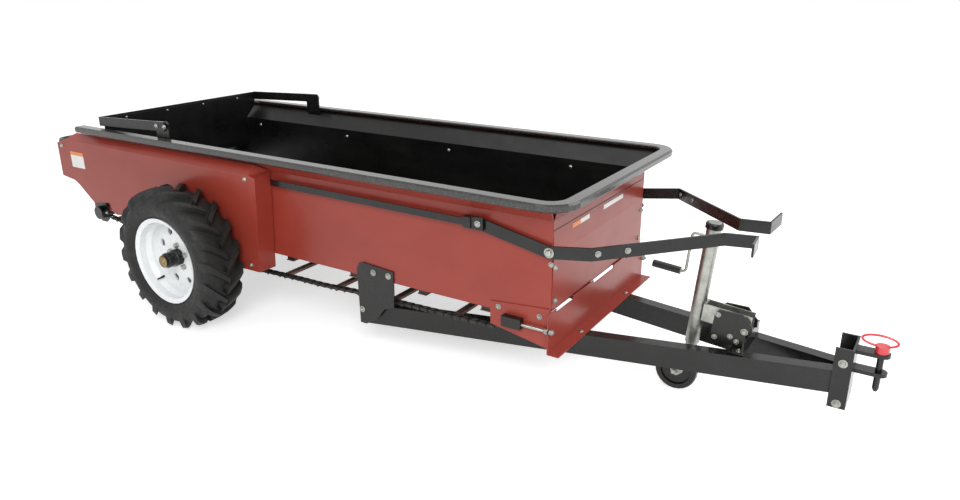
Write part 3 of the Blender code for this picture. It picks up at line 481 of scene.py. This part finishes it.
def lever_trim():
    """Pivots, splice bolts and clevises of the two control levers."""
    work = bmesh.new()
    dark = bmesh.new()
    for _, side in SIDES:
        pivot = at(1.860, side * 0.463, 0.652)
        stack(work, pivot, (0, side, 0), ((-0.001, 0.020), (0.003, 0.020), (0.0035, 0.019)), 24)
        stack(work, pivot, (0, side, 0), ((0.003, 0.013), (0.012, 0.013), (0.014, 0.010)), 6)
        stack(dark, at(1.860, side * PANEL_Y, 0.652), (0, side, 0), ((0, 0.016), (0.010, 0.016)),
              20)
        for x, y in SPLICE_BOLTS:
            z = 0.676 + (x - 2.023) * 0.045
            out = Vector((0.708, side * 0.706, 0))
            bolt(work, at(x, side * y, z), out, 0.008)
            dome(work, at(x, side * y, z) - out * 0.008, -out, 0.009)
        bolt(work, at(1.562, side * 0.475, 0.714), (0, side, 0), 0.009)
        near, far = sorted((side * 0.449, side * 0.480))
        box_bar(dark, at(1.496, near, 0.694), at(1.532, far, 0.735))
        bolt(work, at(1.860, side * PANEL_Y, 0.600), (0, side, 0), 0.007)
    piece("lever_bolts", work, "machine", LOOKS["zinc"])
    piece("lever_clevises", dark, "machine", LOOKS["black_paint"])


def labels():
    """Blank labels: one on each guard and two strips on the front band."""
    film = bmesh.new()
    accent = bmesh.new()
    for _, side in SIDES:
        near, far = sorted((side * GUARD_Y, side * (GUARD_Y + 0.0006)))
        box_bar(film, at(-0.996, near, 0.628), at(-0.880, far, 0.695))
        box_bar(accent, at(-0.996, near, 0.6955), at(-0.880, far, 0.713))
    for low, high, target in ((-0.285, -0.215, accent), (-0.215, -0.135, film),
                              (0.000, 0.200, film)):
        rings = []
        for y in (low, high):
            rings.append([at(1.8640, y, 0.696), at(1.8652, y, 0.696),
                          at(1.8646, y, 0.714), at(1.8634, y, 0.714)])
        skin(target, rings)
    piece("blank_labels", film, "machine", LABEL, smooth=False)
    piece("label_accents", accent, "machine", ORANGE, smooth=False)


def front_band():
    """Painted shadow: a dark strip across the front panel standing for the shade in its gap."""
    work = bmesh.new()
    # painted shadow: a thin black strip just proud of the front panel, in place of the gap's shade
    box_bar(work, at(1.8625, -0.434, 0.7255), at(1.8642, 0.434, 0.7285))
    piece("front_gap_shadow", work, "machine", LOOKS["black_liner"], smooth=False)


def jack_trim():
    """Pins and bolts of the jack, its bracket and the caster."""
    pivot = at(2.480, -0.020, 0.330)
    work = bmesh.new()
    for side in (-1, 1):
        start = pivot + Vector((0, side * 0.044, 0))
        stack(work, start, (0, side, 0), ((-0.001, 0.014), (0.002, 0.014), (0.0024, 0.013)), 20)
        stack(work, start, (0, side, 0), ((0.002, 0.010), (0.009, 0.010), (0.0105, 0.008)), 6)
        for x, z in ((2.378, 0.378), (2.372, 0.284), (2.430, 0.300), (2.455, 0.284)):
            bolt(work, at(x, -0.020 + side * 0.044, z), (0, side, 0), 0.0075)
    piece("jack_mount_bolts", work, "machine", LOOKS["zinc"])
    low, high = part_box("caster_wheel")
    centre = (Vector(low) + Vector(high)) / 2
    work = bmesh.new()
    for side in (-1, 1):
        start = centre + Vector((0, side * 0.0285, 0))
        stack(work, start, (0, side, 0), ((-0.001, 0.013), (0.002, 0.013)), 20)
        stack(work, start, (0, side, 0), ((0.002, 0.011), (0.009, 0.011), (0.0105, 0.009)), 6)
    piece("caster_axle_nuts", work, "caster", LOOKS["zinc"])


def hitch_trim():
    """Black shank of the hitch pin below its red collar."""
    low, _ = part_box("hitch_pin")
    work = bmesh.new()
    foot = at(2.935, 0, low[2])
    stack(work, foot, (0, 0, 1), ((0.0006, 0.0066), (0.012, 0.0116), (0.1520, 0.0116)), 28)
    piece("pin_shank", work, "machine", LOOKS["black_paint"])


def take_up_trim():
    """Plated thread and nuts of the apron's take-ups."""
    work = bmesh.new()
    for _, side in SIDES:
        start = at(1.7525, side * 0.466, 0.341)
        steps = []
        for i in range(66):
            steps.append((0.0985 * i / 65, 0.0068 if i % 2 else 0.0062))
        stack(work, start, (1, 0, 0), steps, 12)
        for x, high in ((1.8507, 0.0141), (1.8712, 0.0130)):
            place = at(x, side * 0.466, 0.341)
            stack(work, place, (1, 0, 0), ((0, 0.0106), (0.001, 0.0116), (high, 0.0116),
                                           (high + 0.0004, 0.0100)), 6)
        stack(work, at(1.884, side * 0.466, 0.341), (1, 0, 0), ((0, 0.0064), (0.0065, 0.0064)), 12)
    piece("take_up_threads", work, "machine", LOOKS["zinc"])


def jack_cap():
    """Black cap over the top of the jack's tube."""
    low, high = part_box("jack_tube")
    lean = radians(5)
    run = Vector((sin(lean), 0, cos(lean)))
    foot = Vector((cap_x(high), -0.020, high[2])) - run * 0.0255
    work = bmesh.new()
    stack(work, foot, run, ((0.0, 0.0335), (0.017, 0.0335), (0.022, 0.030), (0.0235, 0.020)), 36)
    piece("jack_cap", work, "jack", LOOKS["black_paint"])


def cap_x(high):
    """X of the tube's middle line at its top."""
    pivot = at(2.480, 0, 0.330)
    lean = radians(5)
    return pivot.x - 0.1933 * cos(lean) + 0.380 * sin(lean)


def crank_grip():
    """Black ribbed sleeve over the crank's handle."""
    low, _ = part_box("jack_crank")
    lean = radians(5)
    run = Vector((-cos(lean), 0, sin(lean)))
    tip = Vector((low[0] + 0.002, -0.020, low[2] + 0.0235))
    work = bmesh.new()
    steps = []
    for i in range(25):
        reach = -0.002 + 0.113 * i / 24
        steps.append((reach, 0.0150 if i % 2 else 0.0144))
    stack(work, tip, -run, steps, 20)
    piece("crank_grip_sleeve", work, "jack", LOOKS["black_paint"])


# ---------------------------------------------------------------- camera, light and floor
YAW = radians(32.65)
PITCH = radians(19.94)
ROLL = radians(-0.38)
LENS_MM = 28.59
CAMERA_AT = (3.0376, -2.7610, 1.5973)


def camera():
    data = bpy.data.cameras.new("camera")
    data.lens = LENS_MM
    data.sensor_width = 36.0
    data.clip_end = 200.0
    obj = bpy.data.objects.new("camera", data)
    aim = Matrix.Rotation(YAW, 4, "Z") @ Matrix.Rotation(pi / 2 - PITCH, 4, "X")
    aim = aim @ Matrix.Rotation(ROLL, 4, "Z")
    obj.matrix_world = Matrix.Translation(at(*CAMERA_AT)) @ aim
    bpy.context.scene.collection.objects.link(obj)
    bpy.context.scene.camera = obj


def seen_or_mirrored(tree):
    """1 for camera, glossy and transmission rays, else 0."""
    path = node(tree, "ShaderNodeLightPath")
    total = path.outputs["Is Camera Ray"]
    for name in ("Is Glossy Ray", "Is Transmission Ray"):
        add = node(tree, "ShaderNodeMath", operation="MAXIMUM")
        tree.links.new(total, add.inputs[0])
        tree.links.new(path.outputs[name], add.inputs[1])
        total = add.outputs[0]
    return total


FLOOR_GLOW = 0.58         # lifts the floor to white where the camera or a mirror sees it


def floor():
    work = bmesh.new()
    reach = 40.0
    corners = ((-reach, -reach), (reach, -reach), (reach, reach), (-reach, reach))
    work.faces.new([work.verts.new((x, y, 0.0)) for x, y in corners])
    mesh = bpy.data.meshes.new("studio_floor")
    work.to_mesh(mesh)
    work.free()
    look = bpy.data.materials.new("studio_floor")
    look.use_nodes = True
    tree = look.node_tree
    shader = tree.nodes["Principled BSDF"]
    shader.inputs["Base Color"].default_value = (0.86, 0.86, 0.86, 1)
    shader.inputs["Roughness"].default_value = 0.9
    shader.inputs["Specular IOR Level"].default_value = 0.0
    shader.inputs["Emission Color"].default_value = (1, 1, 1, 1)
    glow = node(tree, "ShaderNodeMath", operation="MULTIPLY")
    glow.inputs[1].default_value = FLOOR_GLOW
    tree.links.new(seen_or_mirrored(tree), glow.inputs[0])
    tree.links.new(glow.outputs[0], shader.inputs["Emission Strength"])
    mesh.materials.append(look)
    obj = bpy.data.objects.new("studio_floor", mesh)
    bpy.context.scene.collection.objects.link(obj)


def sky():
    world = bpy.data.worlds.new("studio")
    bpy.context.scene.world = world
    world.use_nodes = True
    tree = world.node_tree
    back = tree.nodes["Background"]
    back.inputs["Color"].default_value = (1, 1, 1, 1)
    level = node(tree, "ShaderNodeMapRange")
    level.inputs["To Min"].default_value = 0.52
    level.inputs["To Max"].default_value = 1.0
    tree.links.new(seen_or_mirrored(tree), level.inputs["Value"])
    tree.links.new(level.outputs["Result"], back.inputs["Strength"])


LAMPS = (
    # name, place, size, watts
    ("key", (4.2, -5.0, 4.2), 3.2, 290.0),
    ("fill", (5.5, 3.0, 4.0), 4.0, 120.0),
    ("top", (0.5, 0.5, 6.5), 5.0, 110.0),
)


def lights():
    target = at(0.9, 0, 0.4)
    for name, place, size, watts in LAMPS:
        data = bpy.data.lights.new(name, "AREA")
        data.size = size
        data.energy = watts
        obj = bpy.data.objects.new(name, data)
        obj.location = at(*place)
        obj.rotation_euler = (target - obj.location).to_track_quat("-Z", "Y").to_euler()
        bpy.context.scene.collection.objects.link(obj)


def main():
    dress_cad()
    camera()
    floor()
    sky()
    lights()
    for side_name, side in SIDES:
        tyre(side_name, side)
        wheel_trim(side_name, side)
    apron()
    fasteners()
    cross_tabs()
    lever_trim()
    labels()
    front_band()
    jack_trim()
    jack_cap()
    hitch_trim()
    take_up_trim()
    crank_grip()
    bpy.context.scene.view_settings.view_transform = "Standard"


main()
